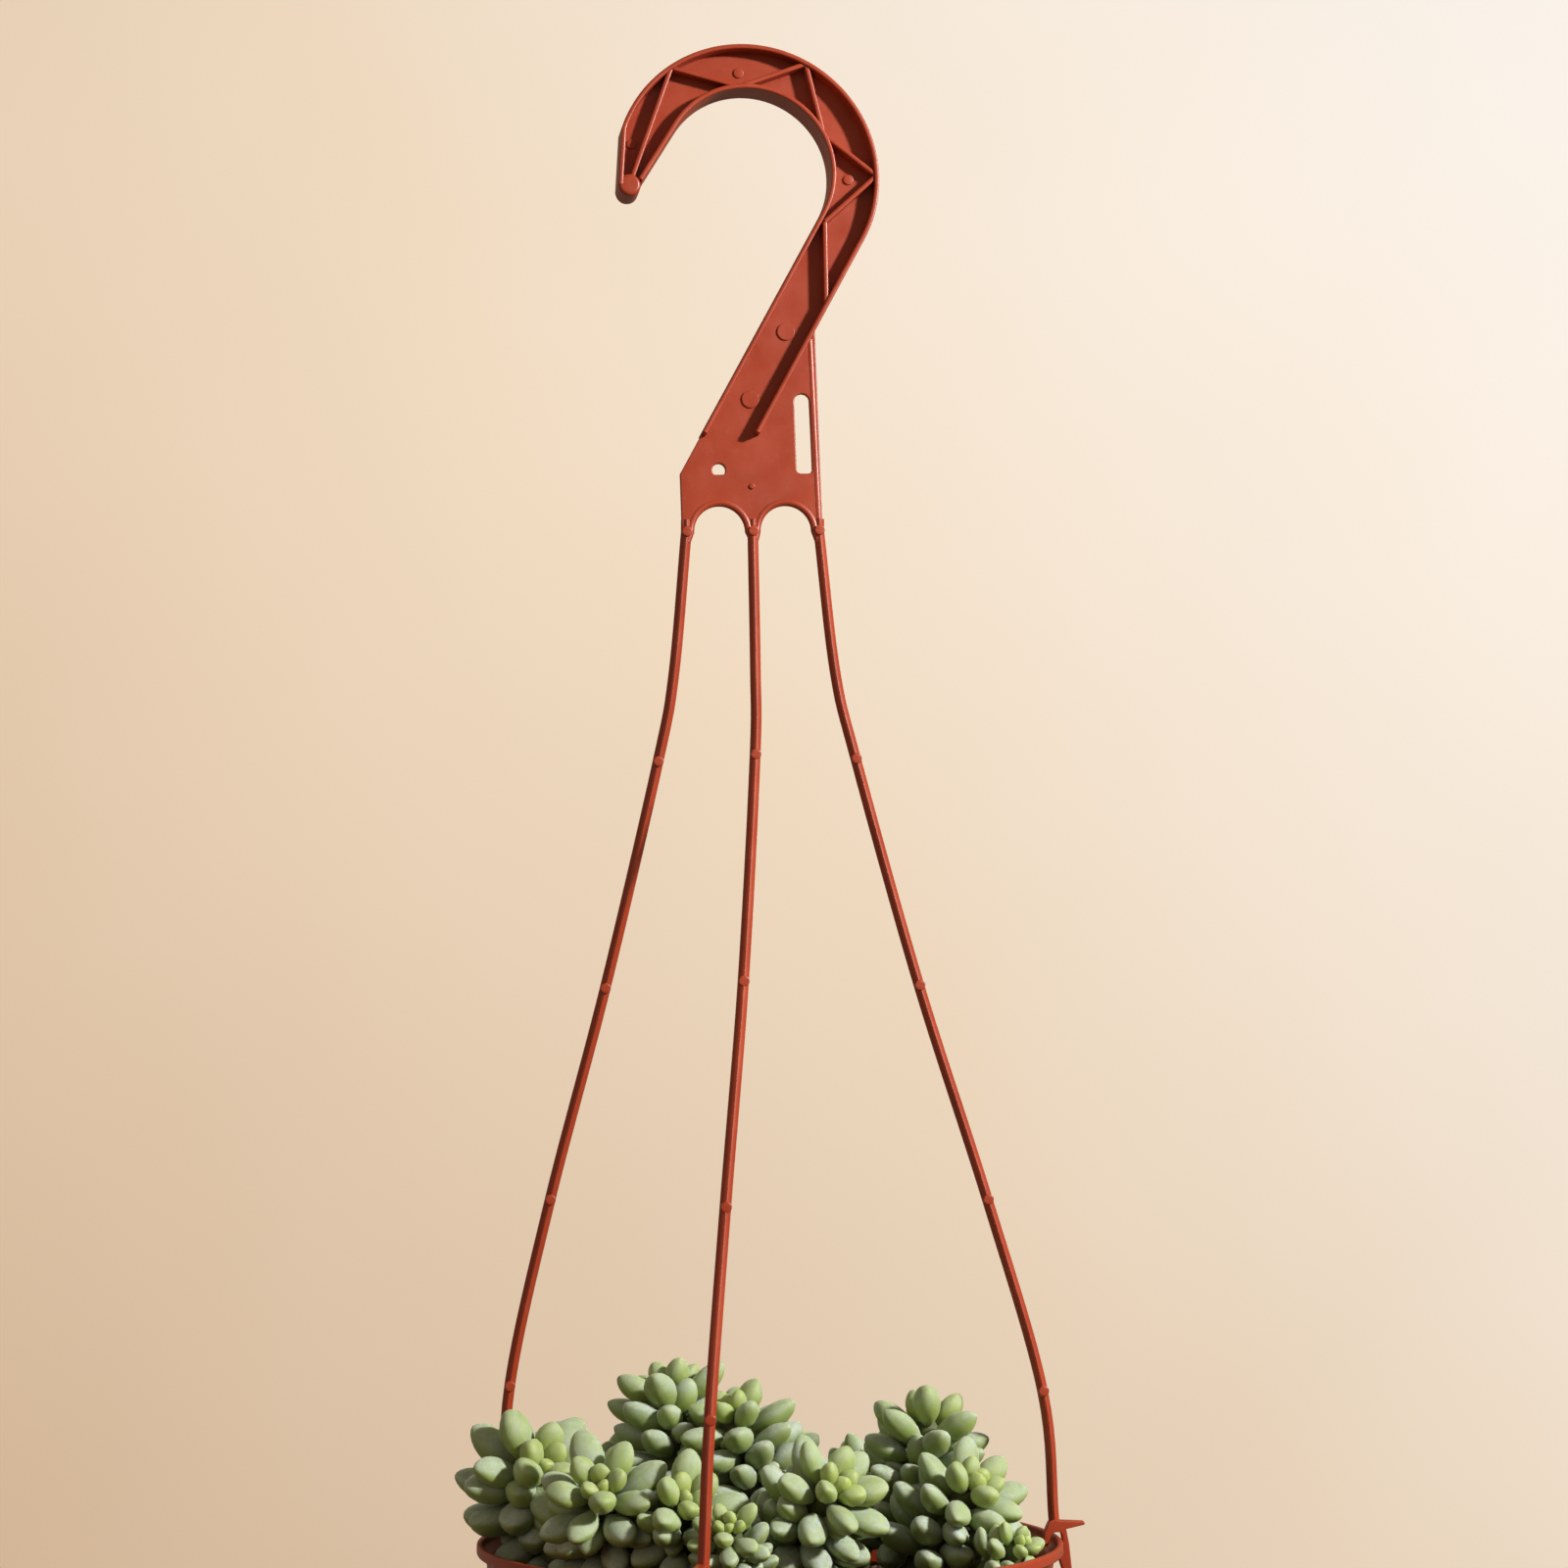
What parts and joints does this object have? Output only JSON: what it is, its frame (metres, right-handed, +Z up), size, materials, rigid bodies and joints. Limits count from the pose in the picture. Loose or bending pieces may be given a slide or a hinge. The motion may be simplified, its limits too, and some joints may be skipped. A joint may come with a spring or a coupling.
{
  "type": "hanging potted burro's tail plant",
  "caption": "Burro's tail succulent in a round plastic hanging pot, with a moulded hook and strand hanger clipped over its rim.",
  "frame": {"origin": "crest of the inside of the hook, where it sits on a rod, in the middle of the hook's depth", "axes": "+Z up, -Y towards the front, +X to the right seen from the front; the hook lies in the XZ plane"},
  "size_m": [0.1513, 0.1416, 0.4725],
  "materials": {
    "terracotta_plastic": "satin injection-moulded polypropylene, terracotta red-brown",
    "potting_soil": "dark loose peat and bark potting mix",
    "burros_tail_leaf": "plump grey-green succulent leaves with a waxy bloom"
  },
  "bodies": {
    "root": {"hanger": "terracotta_plastic", "pot": "terracotta_plastic", "soil": "potting_soil", "tail_left": "burros_tail_leaf", "tail_front_left": "burros_tail_leaf", "tail_front": "burros_tail_leaf", "tail_front_right": "burros_tail_leaf", "tail_right": "burros_tail_leaf", "tail_back_right": "burros_tail_leaf", "tail_middle": "burros_tail_leaf", "tail_back_left": "burros_tail_leaf", "tail_rear": "burros_tail_leaf", "tail_rear_right": "burros_tail_leaf", "tail_rear_left": "burros_tail_leaf", "tail_right_low": "burros_tail_leaf", "tail_offset": "burros_tail_leaf"}
  },
  "joints": []
}
